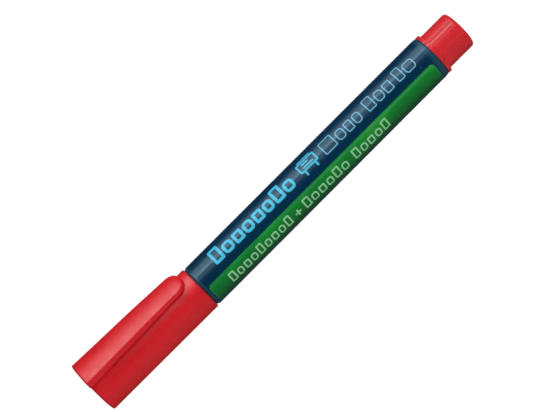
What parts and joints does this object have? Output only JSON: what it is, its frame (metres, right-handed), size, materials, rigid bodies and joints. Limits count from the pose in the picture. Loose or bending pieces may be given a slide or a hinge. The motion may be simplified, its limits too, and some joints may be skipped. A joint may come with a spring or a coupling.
{
  "type": "whiteboard marker",
  "caption": "Refillable whiteboard marker: clip cap over a bullet nib, straight printed barrel, pull-out ink cartridge with a coloured tail that holds the posted cap.",
  "frame": {"origin": "centre of the flat closed end of the cap, which the marker stands on", "axes": "+Z along the marker's axis, from the cap's closed end to the tail plug; the clip faces -Y; +X to the right of the clip"},
  "size_m": [0.0136, 0.0162, 0.1371],
  "materials": {
    "cap_red": "moulded polypropylene, soft gloss",
    "seal_natural": "soft natural polyethylene, milky",
    "holder_dark": "moulded, satin",
    "nib_felt": "bonded fibre, ink soaked",
    "wick_fibre": "bonded fibre, ink soaked",
    "collector_plastic": "moulded, satin",
    "barrel_dark": "extruded polypropylene, soft gloss",
    "label_print": "printed film, soft gloss",
    "cartridge_clear": "clear moulded, ink stained",
    "grommet_rubber": "moulded, dull",
    "ball_steel": "polished",
    "plug_red": "moulded polypropylene, soft gloss"
  },
  "bodies": {
    "barrel": {"barrel": "barrel_dark", "label_film": "label_print", "front_section": "holder_dark", "collector": "collector_plastic", "wick": "wick_fibre", "nib": "nib_felt"},
    "cap": {"cap_shell": "cap_red", "cap_seal": "seal_natural"},
    "cartridge": {"cartridge_tube": "cartridge_clear", "grommet": "grommet_rubber", "rear_plug": "plug_red"},
    "ball": {"mixing_ball": "ball_steel"}
  },
  "joints": [
    {"name": "cap_pull", "type": "slide", "parent": "barrel", "child": "cap", "axis": [0, 0, -1], "range_m": [0, 0.045]},
    {"name": "cartridge_pull", "type": "slide", "parent": "barrel", "child": "cartridge", "axis": [0, 0, 1], "range_m": [0, 0.08]},
    {"name": "ball_travel", "type": "slide", "parent": "cartridge", "child": "ball", "axis": [0, 0, 1], "range_m": [0, 0.055]}
  ]
}
